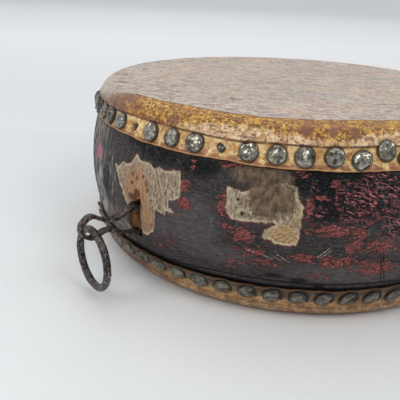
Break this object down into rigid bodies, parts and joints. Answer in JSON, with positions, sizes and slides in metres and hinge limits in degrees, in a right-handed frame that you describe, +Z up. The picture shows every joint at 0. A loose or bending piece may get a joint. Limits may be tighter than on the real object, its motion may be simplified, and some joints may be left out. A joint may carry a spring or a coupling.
{
  "type": "flat barrel drum",
  "caption": "Flat barrel drum with nailed rawhide heads on a shell of wooden staves, carried by a swinging iron ring.",
  "frame": {"origin": "on the drum's axis, in the plane that its lower head stands on", "axes": "+Z up along the drum's axis, -Y out through the pin and its ring"},
  "size_m": [0.263, 0.2971, 0.1],
  "materials": {
    "lacquered_wood": "worn dark lacquer over gesso on staves",
    "rawhide": "aged, stained rawhide",
    "nail_steel": "dull hand-hammered nail heads",
    "forged_iron": "hand-forged, brown with old rust"
  },
  "bodies": {
    "drum": {"stave_01": "lacquered_wood", "stave_02": "lacquered_wood", "stave_03": "lacquered_wood", "stave_04": "lacquered_wood", "stave_05": "lacquered_wood", "stave_06": "lacquered_wood", "stave_07": "lacquered_wood", "stave_08": "lacquered_wood", "stave_09": "lacquered_wood", "stave_10": "lacquered_wood", "stave_11": "lacquered_wood", "stave_12": "lacquered_wood", "stave_13": "lacquered_wood", "stave_14": "lacquered_wood", "stave_15": "lacquered_wood", "stave_16": "lacquered_wood", "stave_17": "lacquered_wood", "stave_18": "lacquered_wood", "stave_19": "lacquered_wood", "upper_head": "rawhide", "lower_head": "rawhide", "upper_nails": "nail_steel", "lower_nails": "nail_steel", "small_tack": "nail_steel", "split_pin": "forged_iron"},
    "carrying_ring": {"ring": "forged_iron"}
  },
  "joints": [
    {"name": "ring_swing", "type": "hinge", "parent": "drum", "child": "carrying_ring", "pos_m": [0, -0.1578, 0.038], "axis": [-0.9925, 0.1219, 0], "range_deg": [-54, 228]}
  ]
}
